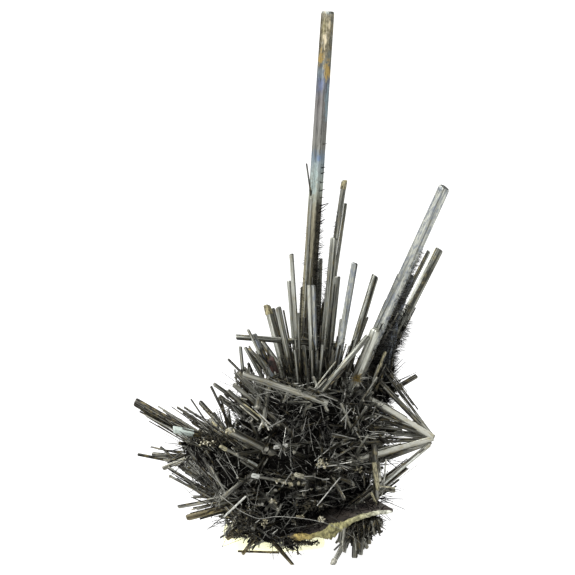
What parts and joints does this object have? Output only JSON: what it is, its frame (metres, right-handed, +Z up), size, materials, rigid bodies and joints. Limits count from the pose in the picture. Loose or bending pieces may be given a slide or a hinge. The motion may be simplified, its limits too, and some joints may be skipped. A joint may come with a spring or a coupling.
{
  "type": "stibnite crystal specimen",
  "caption": "Spiky cluster of long metallic grey crystals that grew together round a thin crusted slab of rock, standing on a low pad of putty.",
  "frame": {"origin": "on the flat underside of the putty pad, under the heart of the cluster", "axes": "+Z up, along the tall crystal to within a few degrees; +X to the right as the specimen is shown; +Y away from the viewer"},
  "size_m": [0.0631, 0.0461, 0.1078],
  "materials": {
    "stibnite": "metallic lead grey, olive in the light, lengthwise striations, blue and ochre tarnish towards some tips",
    "slab_rock": "dark brown-grey rock with a pale yellow to cream crust along its edge",
    "putty": "pale yellow display putty, dull and slightly soft"
  },
  "bodies": {
    "root": {"crystal_cluster": "stibnite", "slab_foot": "stibnite", "matrix_slab": "slab_rock", "putty_pad": "putty"}
  },
  "joints": []
}
